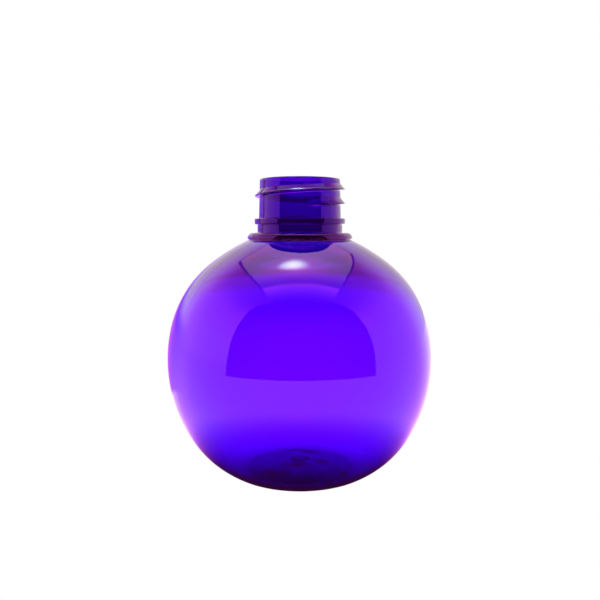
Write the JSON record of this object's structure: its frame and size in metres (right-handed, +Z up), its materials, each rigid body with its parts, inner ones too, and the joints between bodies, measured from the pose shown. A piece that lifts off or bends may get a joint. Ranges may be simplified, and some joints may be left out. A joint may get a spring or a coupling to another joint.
{
  "type": "shampoo bottle",
  "caption": "Ball-shaped clear violet shampoo bottle, blown in one piece, with a screw neck, transfer bead, support ledge and a pushed-up base.",
  "frame": {"origin": "centre of the standing ring, where the bottle meets the table", "axes": "+Z up along the neck's axis and out of its mouth, -Y towards the front, where the thread starts"},
  "size_m": [0.081, 0.081, 0.0902],
  "materials": {
    "clear_violet_plastic": "clear tinted, high gloss"
  },
  "bodies": {
    "root": {"bottle": "clear_violet_plastic"}
  },
  "joints": []
}
